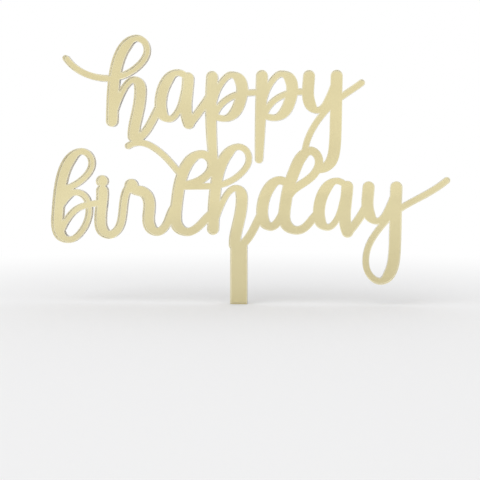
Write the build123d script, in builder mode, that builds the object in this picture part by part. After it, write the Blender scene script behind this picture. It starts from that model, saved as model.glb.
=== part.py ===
"""Cake topper: a greeting in two lines of pen script, with a stake, cut from gold mirror acrylic.

The sheet is a laminate: a gold-tinted acrylic sheet at the front, a metallised mirror film behind it and
a coat of protective paint on the back. All three carry the same cut outline. X runs along the words, Z runs
up, and the front looks towards -Y. The origin is on the stake's centre line, at the level of the surface
that it is planted in.
"""

import os
from math import radians, tan

from build123d import *

# Sheet, in millimetres
ACRYLIC = 2.8
FILM = 0.08
PAINT = 0.12

# Lines: the height of a small letter, the lower line's height, the step between lines, the lean in degrees
X_HEIGHT = 19.7
BASELINE = 26.0
LINE_PITCH = 40.8
LEAN = 2.0

# Pen: the width of stems, hairlines and links, the length that a change takes, the slope where it presses
STEM = 4.5
HAIR = 2.5
LINK = 3.2
PEN_EASE = 4.6
PRESS_SLOPE = 0.05

# Dot of the i, how deep it runs into the stem below it, and the ball that the r starts from
DOT = 4.6
DOT_NECK = 0.9
BALL = 5.2

# Stake: its width, its length below the surface that it is planted in and the length of its point, how far
# under the lower line its left edge starts, and how much lower its right edge does
STAKE_WIDTH = 6.5
STAKE_DEPTH = 50.0
POINT_LENGTH = 7.0
STAKE_DROP = 2.4
SHOULDER = 1.4

# How far the h's leg stands left of the stake's centre line, and the first p's stem left of where it lands
LEG_SHIFT = 1.4
STEM_DRIFT = 1.9

# Words, and how far each letter hops above its line, in letter heights
UPPER_WORD = "happy"
UPPER_HOPS = (0.0, 0.02, 0.04, 0.05, 0.04)
LOWER_WORD = "birthday"
LOWER_HOPS = (-0.08, -0.06, 0.0, 0.0, 0.0, 0.04, 0.03, 0.02)

# Letters, in letter heights: the way from each one to the next, and the point where the one before links in
ADVANCE = {"a": 0.90, "b": 0.82, "d": 1.08, "h": 0.94, "i": 0.41, "p": 0.95, "r": 0.93, "t": 0.88}
ENTRY = {
    "a": (0.10, 0.40),
    "d": (0.10, 0.40),
    "h": (0.11, 0.44),
    "i": (0.135, 0.68),
    "p": (0.18, 0.60),
    "r": (0.31, 0.96),
    "t": (0.27, 0.58),
    "y": (0.115, 0.60),
}

# Places in the letters where lines and pieces meet, in letter heights
H_STEM = (0.13, 1.04)
H_LEG = 0.54
H_FLICK = [(0.44, -0.36), (0.70, -0.30)]
P_STEM = 0.18
P_TIP = (0.18, -0.67)
T_BAR = (0.29, 0.93)
D_LOOP_SIDE = (1.12, 1.22)
D_LOOP_TOP = (0.87, 1.52)

# Strokes that letters share, and the swashes, in letter heights
ASCENDER = [
    (0.12, 0.94), (0.38, 1.02), (0.62, 1.19), (0.75, 1.42), (0.70, 1.61),
    (0.54, 1.69), (0.36, 1.58), (0.20, 1.28), (0.13, 0.90),
]
BOWL = [
    (0.60, 0.86), (0.52, 0.98), (0.40, 1.01), (0.23, 0.88), (0.12, 0.61),
    (0.11, 0.34), (0.17, 0.19), (0.29, 0.13), (0.41, 0.22), (0.51, 0.44),
]
ENTRY_SWASH = [(-0.82, 1.32), (-0.58, 1.10), (-0.28, 0.97), (0.14, 0.94)]
Y_LOOP = [(0.42, -0.88), (0.22, -0.77), (0.125, -0.50)]
Y_RISE = [(0.16, -0.23), (0.34, 0.10), (0.65, 0.44)]
SHORT_SWASH = [(0.90, 0.62), (1.11, 0.77)]
LONG_SWASH = [(1.00, 0.66), (1.57, 1.03)]

# Points along each side of a stroke, for each point of its path
STATIONS = 4


def pen_sides(path, share, thin, press, taper):
    """Left and right edge of the pen's mark at a share of the path's length. The pen makes a thin line on the
    way up and across, and spreads to a full stem on the way down."""
    ease = PEN_EASE / path.length
    slope = (path @ min(share + ease, 1) - path @ max(share - ease, 0)).normalized()
    load = max(-slope.Y - PRESS_SLOPE, 0) / (1 - PRESS_SLOPE) * press
    width = thin + (STEM - thin) * load * load * (3 - 2 * load)
    heading = path % share
    across = Vector(-heading.Y, heading.X) * (width / 2 * (1 - taper * share * share))
    return path @ share + across, path @ share - across


def pen_stroke(points, thin=HAIR, press=1.0, taper=0.0):
    """Adds one stroke through the points to the open sketch. It is divided wherever it turns from rising to
    falling or back, so that no length of it crosses itself. thin is its width on the way up, press 0 keeps it
    that thin all along, and taper is the share of its width that it loses by its end."""
    with BuildLine(mode=Mode.PRIVATE):
        path = Spline(*points)
    rises = [ahead.Y > behind.Y for behind, ahead in zip(points, points[1:])]
    turns = [points[count] for count in range(1, len(rises)) if rises[count] != rises[count - 1]]
    bounds = [0.0, *(path.param_at_point(turn) for turn in turns), 1.0]
    steps = STATIONS * len(points) // (len(turns) + 1)
    for first, last in zip(bounds, bounds[1:]):
        shares = [first + (last - first) * step / steps for step in range(steps + 1)]
        sides = [pen_sides(path, share, thin, press, taper) for share in shares]
        with BuildLine(mode=Mode.PRIVATE) as rim:
            for side in range(2):
                Spline(*(pair[side] for pair in sides))
            for share, (left, right), way in ((first, sides[0], -1), (last, sides[-1], 1)):
                if share in (0.0, 1.0):
                    reach = (left - right).length / 2 * way
                    ThreePointArc(left, path @ share + (path % share) * reach, right)
                else:
                    Line(left, right)
        make_face(rim.edges())


def letter_places(word, hops, baseline, anchor, anchor_across, anchor_x):
    """One function for each letter of the word, from letter heights across and up to a point on the sheet.
    The letter numbered anchor stands with its point anchor_across, on the baseline, at anchor_x."""
    lefts = [sum(ADVANCE[letter] for letter in word[:count]) for count in range(len(word))]
    start = anchor_x - X_HEIGHT * (lefts[anchor] + anchor_across)

    def place_for(left, hop):
        def place(across, up):
            lean = up * tan(radians(LEAN))
            return Vector(start + X_HEIGHT * (left + across + lean), baseline + X_HEIGHT * (up + hop))

        return place

    return [place_for(left, hop) for left, hop in zip(lefts, hops)]


def placed(at, points):
    """Points on the sheet for points in letter heights."""
    return [at(*point) for point in points]


def turned_foot(at, across, sweep, link):
    """Points of the turn along the baseline, and of the rise to the link, of a stem that stands at across. A
    larger sweep makes a wider turn."""
    turn = [(0.0, 0.31), (0.022, 0.185), (0.085, 0.095), (0.17, 0.06), (0.25, 0.10)]
    points = [at(across + sweep * shift, up) for shift, up in turn]
    return [*points, (points[-1] + link) / 2, link]


def letter_a(at, link):
    """Round bowl, a stem, and a link that rises from the stem's foot."""
    pen_stroke(placed(at, BOWL + [(0.60, 0.84)]))
    pen_stroke(placed(at, [(0.62, 0.90), (0.60, 0.55), (0.60, 0.28), (0.66, 0.05)]))
    pen_stroke([at(0.66, 0.02), at(0.80, 0.20), link], thin=LINK, press=0)


def letter_b(at, link):
    """Looped ascender whose stem runs on round a closed bowl, and a link that rises across the bowl."""
    bowl_left = [(0.10, 0.45), (0.12, 0.17), (0.21, 0.03), (0.36, -0.02), (0.56, 0.11)]
    bowl_right = [(0.70, 0.38), (0.71, 0.66), (0.61, 0.84), (0.45, 0.90), (0.28, 0.83), (0.13, 0.66)]
    pen_stroke(placed(at, ASCENDER + bowl_left + bowl_right))
    pen_stroke(placed(at, [(0.20, 0.20), (0.33, 0.43), (0.50, 0.59), (0.70, 0.66)]) + [link], press=0)


def letter_d(at, link):
    """Bowl that runs up into a looped ascender, whose stem has a turned foot."""
    loop_right = [(0.64, 0.78), (0.85, 0.95), (1.03, 1.09), (1.14, 1.28), (1.12, 1.47), (0.99, 1.57)]
    loop_left = [(0.84, 1.49), (0.70, 1.22), (0.59, 0.88), (0.54, 0.54)]
    pen_stroke(placed(at, BOWL + loop_right + loop_left) + turned_foot(at, 0.53, 1.5, link), thin=LINK)


def letter_h(at, link):
    """Looped ascender, an arch with a long leg, and a link that rises from the leg's foot."""
    pen_stroke(placed(at, ASCENDER + [(0.11, 0.48), (0.11, 0.12)]))
    arch = [(0.12, 0.18), (0.20, 0.45), (0.30, 0.69), (0.41, 0.85), (0.52, 0.90), (0.61, 0.83), (0.645, 0.66)]
    pen_stroke(placed(at, arch + [(0.61, 0.32), (H_LEG, -0.18)]))
    pen_stroke(placed(at, [(0.60, -0.24), (0.74, -0.12), (0.88, 0.10)]) + [link], thin=LINK, press=0)


def letter_i(at, link):
    """Stem with a turned foot, and a dot that a neck joins to the stem's top."""
    stem_top = at(0.15, 0.91)
    pen_stroke([stem_top, at(0.135, 0.55)] + turned_foot(at, 0.13, 1.15, link), thin=LINK)
    with Locations(stem_top + Vector(0, (STEM + DOT) / 2 - DOT_NECK)):
        Circle(DOT / 2)


def letter_p(at, tip, link):
    """Straight tapering descender, a closed bowl and a link that rises across the bowl."""
    pen_stroke([at(P_STEM, 0.90), at(P_STEM, 0.20), tip], taper=0.3)
    bowl_left = [(0.19, 0.30), (0.27, 0.60), (0.40, 0.84), (0.54, 0.94), (0.68, 0.88), (0.76, 0.70)]
    bowl_right = [(0.73, 0.44), (0.63, 0.22), (0.48, 0.12), (0.33, 0.13), (0.19, 0.20)]
    pen_stroke(placed(at, bowl_left + bowl_right))
    pen_stroke(placed(at, [(0.27, 0.22), (0.43, 0.44), (0.65, 0.56), (0.90, 0.60)]) + [link], press=0)


def letter_r(at, link):
    """Ball where the link before it ends, a shoulder that dips from there, and a stem with a turned foot."""
    top = at(0.31, 0.95)
    shoulder = [(0.41, 0.86), (0.51, 0.84), (0.60, 0.78), (0.66, 0.66), (0.67, 0.50)]
    pen_stroke([top] + placed(at, shoulder) + turned_foot(at, 0.66, 1.1, link), thin=LINK)
    with Locations(top):
        Circle(BALL / 2)


def letter_t(at, tie, bar_end, link):
    """Looped stem with a turned foot, a tie that sweeps down to it from the upper line, and a bar."""
    loop = [(0.30, 0.95), (0.53, 0.98), (0.77, 1.09), (0.91, 1.27), (0.89, 1.45), (0.73, 1.55), (0.54, 1.47)]
    stem = [(0.39, 1.24), (0.31, 0.95), (0.27, 0.60)]
    pen_stroke(placed(at, loop + stem) + turned_foot(at, 0.26, 1.45, link), thin=LINK)
    pen_stroke(tie + placed(at, [(-0.12, 1.62), (0.12, 1.40), (0.34, 1.15)]), press=0)
    pen_stroke([at(*T_BAR), (at(*T_BAR) + bar_end) / 2, bar_end], press=0)


def letter_y(at, tail):
    """Cup, then a stem that runs down into the tail."""
    cup_left = [(0.12, 0.90), (0.11, 0.64), (0.13, 0.46), (0.20, 0.32), (0.30, 0.26)]
    cup_right = [(0.40, 0.31), (0.49, 0.46), (0.57, 0.66), (0.63, 0.86)]
    pen_stroke(placed(at, cup_left + cup_right))
    stem = [(0.64, 0.90), (0.65, 0.40), (0.66, -0.10), (0.655, -0.44), (0.60, -0.70)]
    pen_stroke(placed(at, stem) + tail)


# Places: the lower h has its leg on the stake, and the upper line's first p has its tip on that h's stem
UPPER_BASELINE = BASELINE + LINE_PITCH
h_at_stake = LOWER_WORD.index("h")
first_p = UPPER_WORD.index("p")
lower = letter_places(LOWER_WORD, LOWER_HOPS, BASELINE, h_at_stake, H_LEG, -LEG_SHIFT)
p_landing = lower[h_at_stake](*H_STEM)
upper = letter_places(UPPER_WORD, UPPER_HOPS, UPPER_BASELINE, first_p, P_STEM, p_landing.X - STEM_DRIFT)

# Links: the point where each letter but the first is met by the letter before it
upper_links = [at(*ENTRY[letter]) for at, letter in zip(upper[1:], UPPER_WORD[1:])]
lower_links = [at(*ENTRY[letter]) for at, letter in zip(lower[1:], LOWER_WORD[1:])]

# Outline: both lines and the stake, joined into one face
with BuildSketch() as outline:
    pen_stroke(placed(upper[0], ENTRY_SWASH), press=0)
    letter_h(upper[0], upper_links[0])
    letter_a(upper[1], upper_links[1])
    letter_p(upper[2], p_landing, upper_links[2])
    letter_p(upper[3], upper[3](*P_TIP), upper_links[3])
    letter_y(upper[4], [lower[5](*D_LOOP_SIDE)])
    pen_stroke([lower[5](*D_LOOP_TOP)] + placed(upper[4], Y_RISE + SHORT_SWASH))
    letter_b(lower[0], lower_links[0])
    letter_i(lower[1], lower_links[1])
    letter_r(lower[2], lower_links[2])
    letter_t(lower[3], placed(upper[0], H_FLICK), lower[4](*ASCENDER[0]), lower_links[3])
    letter_h(lower[4], lower_links[4])
    letter_d(lower[5], lower_links[5])
    letter_a(lower[6], lower_links[6])
    letter_y(lower[7], placed(lower[7], Y_LOOP + Y_RISE + LONG_SWASH))
    with BuildLine():
        half = STAKE_WIDTH / 2
        top = BASELINE - STAKE_DROP
        point = POINT_LENGTH - STAKE_DEPTH
        right = [(half, top - SHOULDER), (half, point)]
        left = [(-half, point), (-half, top)]
        Polyline(*right, (0, -STAKE_DEPTH), *left, close=True)
    make_face()

# Layers of the laminate, from the back forwards
BACK = -(ACRYLIC + FILM + PAINT) / 2

with BuildPart() as back_coat:
    with BuildSketch(Plane.XZ.offset(BACK)):
        add(outline.sketch_local)
    extrude(amount=PAINT)

with BuildPart() as mirror_film:
    with BuildSketch(Plane.XZ.offset(BACK + PAINT)):
        add(outline.sketch_local)
    extrude(amount=FILM)

with BuildPart() as acrylic_sheet:
    with BuildSketch(Plane.XZ.offset(BACK + PAINT + FILM)):
        add(outline.sketch_local)
    extrude(amount=ACRYLIC)

acrylic_sheet.part.label = "acrylic_sheet"
mirror_film.part.label = "mirror_film"
back_coat.part.label = "back_coat"

os.makedirs("parts", exist_ok=True)
export_step(acrylic_sheet.part, "parts/acrylic_sheet.step")
export_step(mirror_film.part, "parts/mirror_film.step")
export_step(back_coat.part, "parts/back_coat.step")
print("faces in the outline:", len(outline.sketch.faces()))
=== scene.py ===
"""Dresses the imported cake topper: a greeting cut from gold mirror acrylic, planted by its stake.

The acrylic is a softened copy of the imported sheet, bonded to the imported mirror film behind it. The film and
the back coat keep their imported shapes. Lengths are in metres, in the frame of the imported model: X runs along
the words, Z runs up, and the front looks towards -Y.
"""

import logging
import math
from abc import ABC, abstractmethod
from dataclasses import dataclass, field
from enum import Enum
from typing import Any, ClassVar

import bmesh
import bpy
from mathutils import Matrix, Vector

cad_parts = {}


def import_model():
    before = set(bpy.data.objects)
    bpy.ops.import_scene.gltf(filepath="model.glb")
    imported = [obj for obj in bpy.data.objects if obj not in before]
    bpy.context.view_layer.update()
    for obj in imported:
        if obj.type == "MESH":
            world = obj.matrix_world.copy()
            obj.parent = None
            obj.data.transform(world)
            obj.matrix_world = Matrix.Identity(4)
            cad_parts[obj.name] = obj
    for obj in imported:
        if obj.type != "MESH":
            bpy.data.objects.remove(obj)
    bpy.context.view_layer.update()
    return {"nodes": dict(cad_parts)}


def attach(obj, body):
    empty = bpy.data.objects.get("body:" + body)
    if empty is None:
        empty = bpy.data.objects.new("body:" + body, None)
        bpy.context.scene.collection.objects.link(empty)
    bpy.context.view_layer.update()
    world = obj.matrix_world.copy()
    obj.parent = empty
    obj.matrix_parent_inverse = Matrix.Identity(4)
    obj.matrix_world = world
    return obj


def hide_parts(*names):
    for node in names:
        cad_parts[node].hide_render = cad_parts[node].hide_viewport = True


MM = 0.001
BODY = "root"

Colour = tuple[float, float, float, float]
Place = tuple[float, float, float]
Range = tuple[float, float]

WHOLE: Range = (0.0, 1.0)
ACRYLIC_IOR = 1.49

# How squarely a face looks along Y if it is flat, and if it belongs to the lip
FLAT = 0.99
SLANTED = 0.4

log = logging.getLogger("cake_topper")


class Facing(Enum):
    """The way that a flat face of the sheet looks along Y."""

    FRONT = -1.0
    BACK = 1.0


class Zone(Enum):
    """Zones of the acrylic's surface, by the number of their finish."""

    FACE = 0
    LIP = 1
    EDGE = 2

    @classmethod
    def of(cls, face: bpy.types.MeshPolygon) -> "Zone":
        """Tells the zone of a face by how squarely it looks along Y.

        Args:
            face: A face of the softened acrylic.

        Returns:
            The face's zone.
        """
        squareness = abs(face.normal.y)
        if squareness > FLAT:
            return cls.FACE
        return cls.LIP if squareness > SLANTED else cls.EDGE


class Effect(Enum):
    """Surface effects that several finishes share, by the name of their node group."""

    HAIRLINES = "hairline scratches"
    CUT_LINES = "laser cut lines"
    DRIFT = "slow drift"


class NodeBench:
    """Places and joins the nodes of one material, world or node group."""

    def __init__(self, tree: bpy.types.NodeTree) -> None:
        """Keeps the tree that the nodes go into."""
        self.tree = tree

    def place(self, kind: str, **settings: Any) -> bpy.types.Node:
        """Adds a node.

        Args:
            kind: Blender's name for the kind of node.
            settings: The node's own properties, by name.

        Returns:
            The new node.
        """
        node = self.tree.nodes.new(kind)
        for name, value in settings.items():
            setattr(node, name, value)
        return node

    def feed(self, socket: bpy.types.NodeSocket, source: Any) -> None:
        """Joins a socket to an output, or sets it to a plain value.

        Args:
            socket: The input that is fed.
            source: An output of another node, or a number, vector or colour.
        """
        if isinstance(source, bpy.types.NodeSocket):
            self.tree.links.new(source, socket)
        else:
            socket.default_value = source

    def math(self, operation: str, first: Any, second: Any) -> bpy.types.NodeSocket:
        """Joins two numbers.

        Args:
            operation: Blender's name for the sum.
            first: The first number, plain or from a node.
            second: The second number, plain or from a node.

        Returns:
            The output with the result.
        """
        node = self.place("ShaderNodeMath", operation=operation)
        self.feed(node.inputs[0], first)
        self.feed(node.inputs[1], second)
        return node.outputs[0]

    def spread(self, value: Any, old: Range, new: Range) -> bpy.types.NodeSocket:
        """Moves a value from one range to another, with a smooth start and end.

        Args:
            value: The value, from a node.
            old: Where the old range starts and ends.
            new: Where the new range starts and ends.

        Returns:
            The output with the moved value.
        """
        node = self.place("ShaderNodeMapRange", interpolation_type="SMOOTHSTEP")
        for name, source in zip(("Value", "From Min", "From Max", "To Min", "To Max"), (value, *old, *new)):
            self.feed(node.inputs[name], source)
        return node.outputs["Result"]

    def mix(self, share: Any, first: Any, second: Any) -> bpy.types.NodeSocket:
        """Mixes two colours.

        Args:
            share: How much of the second colour there is.
            first: The colour at share 0.
            second: The colour at share 1.

        Returns:
            The output with the mixed colour.
        """
        node = self.place("ShaderNodeMix", data_type="RGBA")
        self.feed(node.inputs[0], share)
        self.feed(node.inputs[6], first)
        self.feed(node.inputs[7], second)
        return node.outputs[2]

    def noise(self, spot: Any, scale: Any, detail: float) -> bpy.types.NodeSocket:
        """Adds a noise pattern.

        Args:
            spot: The coordinates that the pattern lies on.
            scale: How many of its grains fit in a metre.
            detail: How many finer layers it has.

        Returns:
            The output with the pattern's value.
        """
        node = self.place("ShaderNodeTexNoise")
        self.feed(node.inputs["Vector"], spot)
        self.feed(node.inputs["Scale"], scale)
        self.feed(node.inputs["Detail"], detail)
        return node.outputs[0]

    def turned(self, spot: Any, turn: float, stretch: Place) -> bpy.types.NodeSocket:
        """Turns coordinates about Y and stretches them.

        Args:
            spot: The coordinates, from a node.
            turn: The angle in degrees.
            stretch: The factors along X, Y and Z.

        Returns:
            The output with the new coordinates.
        """
        node = self.place("ShaderNodeMapping")
        self.feed(node.inputs["Vector"], spot)
        self.feed(node.inputs["Rotation"], (0.0, math.radians(turn), 0.0))
        self.feed(node.inputs["Scale"], stretch)
        return node.outputs[0]

    def seen(self) -> bpy.types.NodeSocket:
        """Tells the rays that show the stage from those that only light with it.

        Returns:
            An output that is 1 for camera, mirror and glass rays, and 0 for the rest.
        """
        rays = self.place("ShaderNodeLightPath").outputs
        mirrored = self.math("MAXIMUM", rays["Is Glossy Ray"], rays["Is Transmission Ray"])
        return self.math("MAXIMUM", rays["Is Camera Ray"], mirrored)


class FinishBench(NodeBench):
    """Makes one material, and holds what every finish starts from.

    Attributes:
        material: The new material.
        shader: Its shader.
        spot: The coordinates on the piece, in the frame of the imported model.
    """

    def __init__(self, name: str) -> None:
        """Makes the material, under its name."""
        self.material = bpy.data.materials.new(name)
        self.material.use_nodes = True
        super().__init__(self.material.node_tree)
        self.shader = self.tree.nodes["Principled BSDF"]
        self.spot = self.place("ShaderNodeTexCoord").outputs["Object"]

    def set(self, name: str, source: Any) -> None:
        """Feeds the shader's input of that name."""
        self.feed(self.shader.inputs[name], source)

    def show(self, output: bpy.types.NodeSocket) -> None:
        """Shows another shader's output in place of the first shader."""
        self.feed(self.tree.nodes["Material Output"].inputs["Surface"], output)

    def effect(self, group: bpy.types.NodeTree, scale: float) -> bpy.types.NodeSocket:
        """Places a shared effect.

        Args:
            group: The effect's node group.
            scale: How many of its grains fit in a metre.

        Returns:
            The output with the effect's mask.
        """
        node = self.place("ShaderNodeGroup", node_tree=group)
        self.feed(node.inputs["Place"], self.spot)
        self.feed(node.inputs["Scale"], scale)
        return node.outputs["Mask"]

    def emboss(self, height: bpy.types.NodeSocket, depth: float, strength: float) -> None:
        """Raises and sinks the surface by a pattern.

        Args:
            height: The pattern.
            depth: How far it rises.
            strength: How much of that shows.
        """
        bump = self.place("ShaderNodeBump")
        self.feed(bump.inputs["Strength"], strength)
        self.feed(bump.inputs["Distance"], depth)
        self.feed(bump.inputs["Height"], height)
        self.set("Normal", bump.outputs[0])


class EffectShelf:
    """Builds each shared effect once, as a node group, and hands it out.

    Attributes:
        WIPES: The directions of the hairline scratches, in degrees.
        SCRATCH_STRETCH: The factors that draw a grain out into a scratch.
        SCRATCH_CUT: The noise values between which a scratch begins to show.
        LINE_STRETCH: The factors that draw a grain out into a line through the sheet.
        LINE_CUT: The noise values between which a cut line turns from clear to frosted.
        DRIFT_CUT: The noise values that the slow drift runs between.
    """

    WIPES: ClassVar[tuple[float, ...]] = (18.0, 71.0, 128.0)
    SCRATCH_STRETCH: ClassVar[Place] = (1.0, 1.0, 0.025)
    SCRATCH_CUT: ClassVar[Range] = (0.66, 0.74)
    LINE_STRETCH: ClassVar[Place] = (1.0, 0.02, 1.0)
    LINE_CUT: ClassVar[Range] = (0.3, 0.7)
    DRIFT_CUT: ClassVar[Range] = (0.25, 0.75)

    def __init__(self) -> None:
        """Builds all the groups."""
        self.groups = {effect: self._start(effect) for effect in Effect}
        self._hairlines(self.groups[Effect.HAIRLINES])
        self._cut_lines(self.groups[Effect.CUT_LINES])
        self._drift(self.groups[Effect.DRIFT])

    def __getitem__(self, effect: Effect) -> bpy.types.NodeTree:
        """Returns an effect's node group."""
        return self.groups[effect]

    @staticmethod
    def _start(effect: Effect) -> bpy.types.NodeTree:
        """Makes an empty group with the sockets that every effect has.

        Args:
            effect: The effect that the group is for.

        Returns:
            The group, with its inputs and its output.
        """
        group = bpy.data.node_groups.new(effect.value, "ShaderNodeTree")
        group.interface.new_socket("Place", in_out="INPUT", socket_type="NodeSocketVector")
        group.interface.new_socket("Scale", in_out="INPUT", socket_type="NodeSocketFloat")
        group.interface.new_socket("Mask", in_out="OUTPUT", socket_type="NodeSocketFloat")
        return group

    def _hairlines(self, group: bpy.types.NodeTree) -> None:
        """Fine straight scratches from wiping, in several directions.

        Args:
            group: The empty group.
        """
        bench = NodeBench(group)
        given = bench.place("NodeGroupInput").outputs
        marks: Any = 0.0
        for turn in self.WIPES:
            along = bench.turned(given["Place"], turn, self.SCRATCH_STRETCH)
            grain = bench.noise(along, given["Scale"], detail=2.0)
            marks = bench.math("MAXIMUM", marks, bench.spread(grain, self.SCRATCH_CUT, WHOLE))
        bench.feed(bench.place("NodeGroupOutput").inputs["Mask"], marks)

    def _cut_lines(self, group: bpy.types.NodeTree) -> None:
        """Lines that the beam leaves on a cut edge, straight through the sheet along Y.

        Args:
            group: The empty group.
        """
        bench = NodeBench(group)
        given = bench.place("NodeGroupInput").outputs
        through = bench.turned(given["Place"], 0.0, self.LINE_STRETCH)
        lines = bench.spread(bench.noise(through, given["Scale"], detail=1.0), self.LINE_CUT, WHOLE)
        bench.feed(bench.place("NodeGroupOutput").inputs["Mask"], lines)

    def _drift(self, group: bpy.types.NodeTree) -> None:
        """A slow change over the sheet.

        Args:
            group: The empty group.
        """
        bench = NodeBench(group)
        given = bench.place("NodeGroupInput").outputs
        drift = bench.spread(bench.noise(given["Place"], given["Scale"], detail=1.5), self.DRIFT_CUT, WHOLE)
        bench.feed(bench.place("NodeGroupOutput").inputs["Mask"], drift)


@dataclass(frozen=True)
class Finish(ABC):
    """A finish of the sheet, which makes one material.

    Attributes:
        NAME: The material's name.
    """

    NAME: ClassVar[str]

    @abstractmethod
    def lay(self, bench: FinishBench, effects: EffectShelf) -> None:
        """Lays the finish on a new material.

        Args:
            bench: The material's nodes.
            effects: The shared effects.
        """

    def material(self, effects: EffectShelf) -> bpy.types.Material:
        """Makes the material.

        Args:
            effects: The shared effects.

        Returns:
            The finished material.
        """
        bench = FinishBench(self.NAME)
        self.lay(bench, effects)
        return bench.material


@dataclass(frozen=True)
class AcrylicFinish(Finish):
    """Clear gold-tinted acrylic, polished, with wiping marks.

    Attributes:
        tint: What the sheet lets through where it is palest.
        deep_tint: What it lets through where the dye is a little denser.
        dye_scale: How many changes of the dye fit in a metre.
        scratch_scale: How many wiping marks fit in a metre.
        roughness: How rough it is when clean, and along a mark.
    """

    NAME: ClassVar[str] = "gold acrylic"

    tint: Colour = (0.825, 0.742, 0.44, 1.0)
    deep_tint: Colour = (0.79, 0.70, 0.395, 1.0)
    dye_scale: float = 16.0
    scratch_scale: float = 5200.0
    roughness: Range = (0.012, 0.06)

    def lay(self, bench: FinishBench, effects: EffectShelf) -> None:
        """Lays the tint, the polish and the wiping marks.

        Args:
            bench: The material's nodes.
            effects: The shared effects.
        """
        dye = bench.effect(effects[Effect.DRIFT], self.dye_scale)
        scratches = bench.effect(effects[Effect.HAIRLINES], self.scratch_scale)
        bench.set("Base Color", bench.mix(dye, self.tint, self.deep_tint))
        bench.set("Roughness", bench.spread(scratches, WHOLE, self.roughness))
        bench.set("Transmission Weight", 1.0)
        bench.set("IOR", ACRYLIC_IOR)


@dataclass(frozen=True)
class PaintedHighlightLipFinish(Finish):
    """The narrow lip that the beam melts and polishes round the front, painted paler than the sheet as a
    highlight along the front edges.

    Attributes:
        tint: The lip's pale colour, a painted highlight, where the lip is clearest.
        lined_highlight_tint: What it lets through where it is less so.
        line_scale: How many cut lines fit in a metre.
        roughness: How rough it is between the lines, and along one.
    """

    NAME: ClassVar[str] = "melted lip with painted highlight"

    # Painted highlight: both tints are paler than the sheet's, so the front edges show a pale line, duller along
    # the cut lines.
    tint: Colour = (0.97, 0.95, 0.84, 1.0)
    lined_highlight_tint: Colour = (0.93, 0.89, 0.73, 1.0)
    line_scale: float = 9000.0
    roughness: Range = (0.03, 0.12)

    def lay(self, bench: FinishBench, effects: EffectShelf) -> None:
        """Lays the pale tint, a painted highlight, and the ends of the cut lines.

        Args:
            bench: The material's nodes.
            effects: The shared effects.
        """
        lines = bench.effect(effects[Effect.CUT_LINES], self.line_scale)
        bench.set("Base Color", bench.mix(lines, self.tint, self.lined_highlight_tint))
        bench.set("Roughness", bench.spread(lines, WHOLE, self.roughness))
        bench.set("Transmission Weight", 1.0)
        bench.set("IOR", ACRYLIC_IOR)


@dataclass(frozen=True)
class CutEdgeFinish(Finish):
    """The same acrylic where the beam cut it: glassy, deeper in colour, with frosted lines through the sheet.

    Attributes:
        tint: What a clear line of the edge lets through.
        frost: Its colour along a frosted line.
        clear: How much of the edge is clear and not frosted.
        line_scale: How many cut lines fit in a metre.
        roughness: How rough it is along a clear line, and along a frosted one.
        depth: How deep the lines are.
        relief: How much of that depth shows.
        gloss: How strongly the frosted share shines.
    """

    NAME: ClassVar[str] = "cut acrylic edge"

    tint: Colour = (0.46, 0.35, 0.13, 1.0)
    frost: Colour = (0.54, 0.435, 0.205, 1.0)
    clear: float = 0.8
    line_scale: float = 9000.0
    roughness: Range = (0.08, 0.16)
    depth: float = 0.005 * MM
    relief: float = 0.35
    gloss: float = 0.1

    def lay(self, bench: FinishBench, effects: EffectShelf) -> None:
        """Lays the deeper tint and the frosted cut lines.

        Args:
            bench: The material's nodes.
            effects: The shared effects.
        """
        lines = bench.effect(effects[Effect.CUT_LINES], self.line_scale)
        bench.set("Base Color", bench.mix(lines, self.tint, self.frost))
        bench.set("Roughness", bench.spread(lines, WHOLE, self.roughness))
        bench.emboss(lines, self.depth, self.relief)
        bench.set("Transmission Weight", self.clear)
        bench.set("IOR", ACRYLIC_IOR)
        bench.set("Specular IOR Level", self.gloss)


@dataclass(frozen=True)
class FilmFinish(Finish):
    """Metallised mirror film, bonded flat with a slight wave.

    Attributes:
        silver: The metal's colour.
        thin_silver: Its colour where the coating is thinner.
        coating_scale: How many changes of the coating fit in a metre.
        scratch_scale: How many scratches fit in a metre.
        roughness: How rough the metal is when clean, and along a scratch.
        wave_scale: How many waves fit in a metre.
        wave: How far the film rises and falls.
    """

    NAME: ClassVar[str] = "mirror film"

    silver: Colour = (0.965, 0.96, 0.945, 1.0)
    thin_silver: Colour = (0.885, 0.87, 0.845, 1.0)
    coating_scale: float = 45.0
    scratch_scale: float = 7400.0
    roughness: Range = (0.025, 0.085)
    wave_scale: float = 60.0
    wave: float = 0.02 * MM

    def lay(self, bench: FinishBench, effects: EffectShelf) -> None:
        """Lays the metal, its scratches and its wave.

        Args:
            bench: The material's nodes.
            effects: The shared effects.
        """
        coating = bench.effect(effects[Effect.DRIFT], self.coating_scale)
        scratches = bench.effect(effects[Effect.HAIRLINES], self.scratch_scale)
        bench.set("Base Color", bench.mix(coating, self.silver, self.thin_silver))
        bench.set("Roughness", bench.spread(scratches, WHOLE, self.roughness))
        bench.emboss(bench.effect(effects[Effect.DRIFT], self.wave_scale), self.wave, strength=1.0)
        bench.set("Metallic", 1.0)


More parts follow.
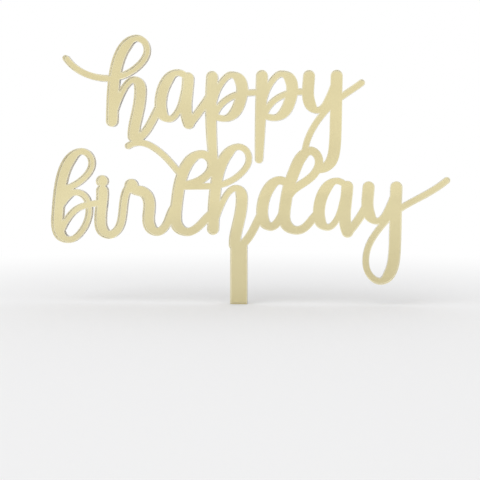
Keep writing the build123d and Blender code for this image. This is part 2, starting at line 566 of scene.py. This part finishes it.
@dataclass(frozen=True)
class PaintFinish(Finish):
    """Matt protective paint, sprayed on the back with a fine orange peel.

    Attributes:
        grey: The paint's colour.
        dark_grey: Its colour where the coat is thicker.
        rubbed: Its colour along fine scratches.
        rub: How much of that colour a scratch shows.
        coat_scale: How many changes of the coat fit in a metre.
        scratch_scale: How many scratches fit in a metre.
        grain_scale: How many grains of the orange peel fit in a metre.
        grain_detail: How many finer layers the grain has.
        speckle_cut: The grain's values between which dark specks begin to show.
        speckle: How much of the dark grey a speck has, at least and at most.
        gloss_cut: The grain's values that the roughness runs between.
        roughness: How rough the paint is in the hollows, and on the grains.
        peel: How high the orange peel stands.
        relief: How much of that height shows.
    """

    NAME: ClassVar[str] = "back paint"

    grey: Colour = (0.36, 0.35, 0.325, 1.0)
    dark_grey: Colour = (0.27, 0.26, 0.24, 1.0)
    rubbed: Colour = (0.52, 0.51, 0.48, 1.0)
    rub: float = 0.5
    coat_scale: float = 70.0
    scratch_scale: float = 2600.0
    grain_scale: float = 2400.0
    grain_detail: float = 3.0
    speckle_cut: Range = (0.45, 0.75)
    speckle: Range = (0.0, 0.35)
    gloss_cut: Range = (0.2, 0.8)
    roughness: Range = (0.48, 0.66)
    peel: float = 0.02 * MM
    relief: float = 0.7

    def lay(self, bench: FinishBench, effects: EffectShelf) -> None:
        """Lays the coat, its specks and orange peel, and the scratches.

        Args:
            bench: The material's nodes.
            effects: The shared effects.
        """
        coat = bench.effect(effects[Effect.DRIFT], self.coat_scale)
        scratches = bench.effect(effects[Effect.HAIRLINES], self.scratch_scale)
        grain = bench.noise(bench.spot, self.grain_scale, self.grain_detail)
        sprayed = bench.mix(coat, self.grey, self.dark_grey)
        specks = bench.spread(grain, self.speckle_cut, self.speckle)
        speckled = bench.mix(specks, sprayed, self.dark_grey)
        rubs = bench.math("MULTIPLY", scratches, self.rub)
        bench.set("Base Color", bench.mix(rubs, speckled, self.rubbed))
        bench.set("Roughness", bench.spread(grain, self.gloss_cut, self.roughness))
        bench.emboss(grain, self.peel, self.relief)


@dataclass
class Laminate:
    """The cut sheet: acrylic in front, the mirror film behind it and the paint on the back.

    Attributes:
        lip: The steps of the rounded lip, from the cut edge to the face, each with its width and its rise.
        bond: How far the acrylic's back lies in the film, so that no air shows between them.
        weld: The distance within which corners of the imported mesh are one.
        facet: The angle below which neighbouring faces look like one curve.
    """

    lip: tuple[Range, ...] = ((0.1 * MM, 0.1 * MM), (0.14 * MM, 0.035 * MM))
    bond: float = 0.02 * MM
    weld: float = 0.001 * MM
    facet: float = math.radians(32)

    def build(self, nodes: dict[str, bpy.types.Object]) -> bpy.types.Object:
        """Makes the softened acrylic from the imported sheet.

        Args:
            nodes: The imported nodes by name.

        Returns:
            The new piece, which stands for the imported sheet.
        """
        sheet = bpy.data.objects.new("softened_acrylic", nodes["acrylic_sheet"].data.copy())
        bpy.context.scene.collection.objects.link(sheet)
        bpy.ops.object.select_all(action="DESELECT")
        sheet.select_set(True)
        bpy.context.view_layer.objects.active = sheet
        bpy.ops.mesh.customdata_custom_splitnormals_clear()
        bpy.ops.object.mode_set(mode="EDIT")
        bpy.ops.mesh.select_all(action="SELECT")
        bpy.ops.mesh.remove_doubles(threshold=self.weld)
        self._soften_front(sheet)
        self._select(sheet, Facing.BACK)
        bpy.ops.transform.translate(value=(0.0, self.bond, 0.0))
        bpy.ops.object.mode_set(mode="OBJECT")
        bpy.ops.object.shade_smooth_by_angle(angle=self.facet)
        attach(sheet, BODY)
        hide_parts("acrylic_sheet")
        return sheet

    @staticmethod
    def _select(sheet: bpy.types.Object, facing: Facing) -> None:
        """Selects the flat faces of the sheet that look one way.

        Args:
            sheet: The sheet, in edit mode.
            facing: The way that the faces look.
        """
        bpy.ops.mesh.select_mode(type="FACE")
        bpy.ops.mesh.select_all(action="DESELECT")
        mesh = bmesh.from_edit_mesh(sheet.data)
        for face in mesh.faces:
            face.select_set(face.normal.y * facing.value > FLAT)
        bmesh.update_edit_mesh(sheet.data)

    def _soften_front(self, sheet: bpy.types.Object) -> None:
        """Rounds off the front edges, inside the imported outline.

        Args:
            sheet: The sheet, in edit mode.
        """
        self._select(sheet, Facing.FRONT)
        bpy.ops.transform.translate(value=(0.0, sum(rise for _, rise in self.lip), 0.0))
        for width, rise in self.lip:
            bpy.ops.mesh.inset(thickness=width, depth=rise, use_boundary=True, use_even_offset=True)
        bpy.ops.mesh.region_to_loop()
        bpy.ops.mesh.mark_sharp()

    @staticmethod
    def _mark_zones(sheet: bpy.types.Object) -> None:
        """Gives each zone of the sheet its own finish.

        Args:
            sheet: The softened acrylic, with its finishes in the order of the zones.
        """
        zones = [Zone.of(face).value for face in sheet.data.polygons]
        sheet.data.polygons.foreach_set("material_index", zones)

    def dress(self, sheet: bpy.types.Object, nodes: dict[str, bpy.types.Object]) -> None:
        """Gives each layer its finish.

        Args:
            sheet: The softened acrylic.
            nodes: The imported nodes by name.
        """
        effects = EffectShelf()
        finishes: dict[bpy.types.Object, tuple[Finish, ...]] = {
            sheet: (AcrylicFinish(), PaintedHighlightLipFinish(), CutEdgeFinish()),
            nodes["mirror_film"]: (FilmFinish(),),
            nodes["back_coat"]: (PaintFinish(),),
        }
        for layer, coats in finishes.items():
            layer.data.materials.clear()
            for coat in coats:
                layer.data.materials.append(coat.material(effects))
            log.info("%s: %d faces, %s", layer.name, len(layer.data.polygons), layer.data.materials.keys())
        self._mark_zones(sheet)


@dataclass
class Floor:
    """The pale floor, with a walled slit that the stake goes into.

    Attributes:
        colour: The floor's colour close to the topper.
        roughness: How matt it is there.
        size: How far the floor reaches from side to side.
        stake: The stake's width and thickness where it goes into the floor.
        slit_room: The room that the slit leaves round the stake.
        slit_depth: How far down the walls of the slit go.
        wall_glow: How brightly these walls glow: a painted glow that they emit, standing in for the light that
            pale stuff lets through.
        upright: How little of a face's normal points up if the face is a wall.
        fade: Where the floor starts and ends turning white, as distances behind and beside the stake.
        reach: How many times further than that the pale patch goes to the front.
    """

    colour: Colour = (0.89, 0.89, 0.895, 1.0)
    roughness: float = 0.9
    size: float = 12.0
    stake: tuple[float, float] = (6.5 * MM, 3.0 * MM)
    slit_room: float = 0.2 * MM
    slit_depth: float = 12 * MM
    wall_glow: float = 0.62
    upright: float = 0.5
    fade: Range = (0.05, 0.3)
    reach: float = 12.0

    def build(self) -> bpy.types.Object:
        """Makes the floor and the walls of its slit.

        Returns:
            The floor.
        """
        slit = [0.5 * side + self.slit_room for side in self.stake]
        bpy.ops.object.select_all(action="DESELECT")
        bpy.ops.mesh.primitive_plane_add(size=self.size)
        floor = bpy.context.active_object
        floor.name = "floor"
        bpy.ops.object.mode_set(mode="EDIT")
        for half, way in zip(slit, (Vector((1, 0, 0)), Vector((0, 1, 0)))):
            for side in (-half, half):
                bpy.ops.mesh.select_all(action="SELECT")
                bpy.ops.mesh.bisect(plane_co=way * side, plane_no=way)
        bpy.ops.mesh.select_mode(type="FACE")
        bpy.ops.mesh.select_all(action="DESELECT")
        mesh = bmesh.from_edit_mesh(floor.data)
        for face in mesh.faces:
            face.select_set(face.calc_center_median().length < max(slit))
        bmesh.update_edit_mesh(floor.data)
        bpy.ops.mesh.delete(type="FACE")
        bpy.ops.mesh.select_mode(type="EDGE")
        bpy.ops.mesh.select_all(action="DESELECT")
        mesh = bmesh.from_edit_mesh(floor.data)
        for edge in mesh.edges:
            edge.select_set(all(corner.co.length < 2 * max(slit) for corner in edge.verts))
        bmesh.update_edit_mesh(floor.data)
        bpy.ops.mesh.extrude_region_move(TRANSFORM_OT_translate={"value": (0.0, 0.0, -self.slit_depth)})
        bpy.ops.object.mode_set(mode="OBJECT")
        return floor

    def dress(self, floor: bpy.types.Object) -> None:
        """Gives the floor its finish and the walls of its slit their painted glow.

        Args:
            floor: The floor.
        """
        for finish in (self._pale_finish(), self._painted_glow_finish()):
            floor.data.materials.append(finish)
        for face in floor.data.polygons:
            face.material_index = int(abs(face.normal.z) < self.upright)

    def _pale_finish(self) -> bpy.types.Material:
        """Makes the floor's matt finish, pale close to the topper and white further off.

        Returns:
            The finished material.
        """
        bench = FinishBench("pale floor")
        bench.set("Base Color", self.colour)
        bench.set("Roughness", self.roughness)
        bench.set("Specular IOR Level", 0.0)
        white = bench.place("ShaderNodeEmission")
        blend = bench.place("ShaderNodeMixShader")
        bench.feed(blend.inputs[0], bench.math("MULTIPLY", self._whiteness(bench), bench.seen()))
        bench.feed(blend.inputs[1], bench.shader.outputs[0])
        bench.feed(blend.inputs[2], white.outputs[0])
        bench.show(blend.outputs[0])
        return bench.material

    def _whiteness(self, bench: FinishBench) -> bpy.types.NodeSocket:
        """Tells how far the floor has turned white.

        Args:
            bench: The nodes of the floor's material.

        Returns:
            An output that is 0 close to the stake and 1 far off, with a longer way to the front.
        """
        spot = bench.place("ShaderNodeSeparateXYZ")
        bench.feed(spot.inputs[0], bench.spot)
        back = spot.outputs["Y"]
        drawn_in = bench.place("ShaderNodeCombineXYZ")
        bench.feed(drawn_in.inputs["X"], spot.outputs["X"])
        bench.feed(drawn_in.inputs["Y"], bench.math("MAXIMUM", back, bench.math("DIVIDE", back, self.reach)))
        away = bench.place("ShaderNodeVectorMath", operation="LENGTH")
        bench.feed(away.inputs[0], drawn_in.outputs[0])
        return bench.spread(away.outputs["Value"], self.fade, WHOLE)

    def _painted_glow_finish(self) -> bpy.types.Material:
        """Makes the painted glow of the slit's walls, which emit light the way pale stuff looks when it lets
        light through.

        Returns:
            The finished material.
        """
        bench = FinishBench("slit wall painted glow")
        # Painted glow: the slit's walls emit light of their own, though they are no lamp.
        glow = bench.place("ShaderNodeEmission")
        bench.feed(glow.inputs["Strength"], self.wall_glow)
        bench.show(glow.outputs[0])
        return bench.material


@dataclass(frozen=True)
class Lamp:
    """A soft square lamp that looks at the topper's foot.

    Attributes:
        name: The lamp's name.
        place: Where it stands.
        power: Its power in watts.
        size: The length of its sides.
    """

    name: str = "key lamp"
    place: Place = (-0.9, -1.1, 1.5)
    power: float = 8.0
    size: float = 1.6

    def build(self) -> None:
        """Adds the lamp."""
        bpy.ops.object.select_all(action="DESELECT")
        bpy.ops.object.light_add(type="AREA", location=self.place)
        lamp = bpy.context.active_object
        lamp.name = self.name
        lamp.data.energy = self.power
        lamp.data.size = self.size
        lamp.rotation_euler = (-Vector(self.place)).to_track_quat("-Z", "Y").to_euler()


@dataclass(frozen=True)
class Viewpoint:
    """Where the camera stands and how much it shows.

    Attributes:
        aim: The point that the camera looks at.
        distance: How far the camera is from that point.
        elevation: How far the camera looks down, in degrees.
        turn: How far the camera stands to the right, in degrees.
        view_width: How much the picture shows from side to side at the topper.
        far_limit: The distance beyond which it shows nothing.
    """

    aim: Place = (0.4 * MM, 0.0, 24.2 * MM)
    distance: float = 0.4007
    elevation: float = 3.405
    turn: float = 5.086
    view_width: float = 181.3 * MM
    far_limit: float = 50.0

    def build(self) -> None:
        """Adds the camera and takes it for the picture."""
        tilt, turn = math.radians(self.elevation), math.radians(self.turn)
        aim = Vector(self.aim)
        level = Vector((math.sin(turn), -math.cos(turn), 0.0))
        place = aim + self.distance * (math.cos(tilt) * level + math.sin(tilt) * Vector((0.0, 0.0, 1.0)))
        bpy.ops.object.select_all(action="DESELECT")
        bpy.ops.object.camera_add(location=place)
        camera = bpy.context.active_object
        camera.rotation_euler = (aim - place).to_track_quat("-Z", "Y").to_euler()
        camera.data.lens = camera.data.sensor_width * self.distance / self.view_width
        camera.data.clip_end = self.far_limit
        bpy.context.scene.camera = camera


@dataclass
class Studio:
    """Pale floor, white surround, soft light and the camera.

    Attributes:
        floor: The floor.
        lamp: The lamp.
        viewpoint: The camera's place.
        surround: How strongly the surround lights the topper.
    """

    floor: Floor = field(default_factory=Floor)
    lamp: Lamp = Lamp()
    viewpoint: Viewpoint = Viewpoint()
    surround: float = 0.86

    def build_surround(self) -> None:
        """Makes the white surround, which lights the topper less than it shows."""
        world = bpy.data.worlds.new("white surround")
        world.use_nodes = True
        bpy.context.scene.world = world
        bench = NodeBench(world.node_tree)
        white = world.node_tree.nodes["Background"].inputs
        bench.feed(white["Color"], (1.0, 1.0, 1.0, 1.0))
        bench.feed(white["Strength"], bench.spread(bench.seen(), WHOLE, (self.surround, 1.0)))

    def build(self) -> None:
        """Sets up the whole studio."""
        self.floor.dress(self.floor.build())
        self.build_surround()
        self.lamp.build()
        self.viewpoint.build()
        bpy.context.scene.view_settings.view_transform = "Standard"
        log.info("studio: floor, %s and camera", self.lamp.name)


def main() -> None:
    """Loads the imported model, dresses it and sets up the studio."""
    logging.basicConfig(level=logging.INFO, format="%(name)s: %(message)s")
    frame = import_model()
    laminate = Laminate()
    sheet = laminate.build(frame["nodes"])
    laminate.dress(sheet, frame["nodes"])
    Studio().build()


if __name__ == "__main__":
    main()
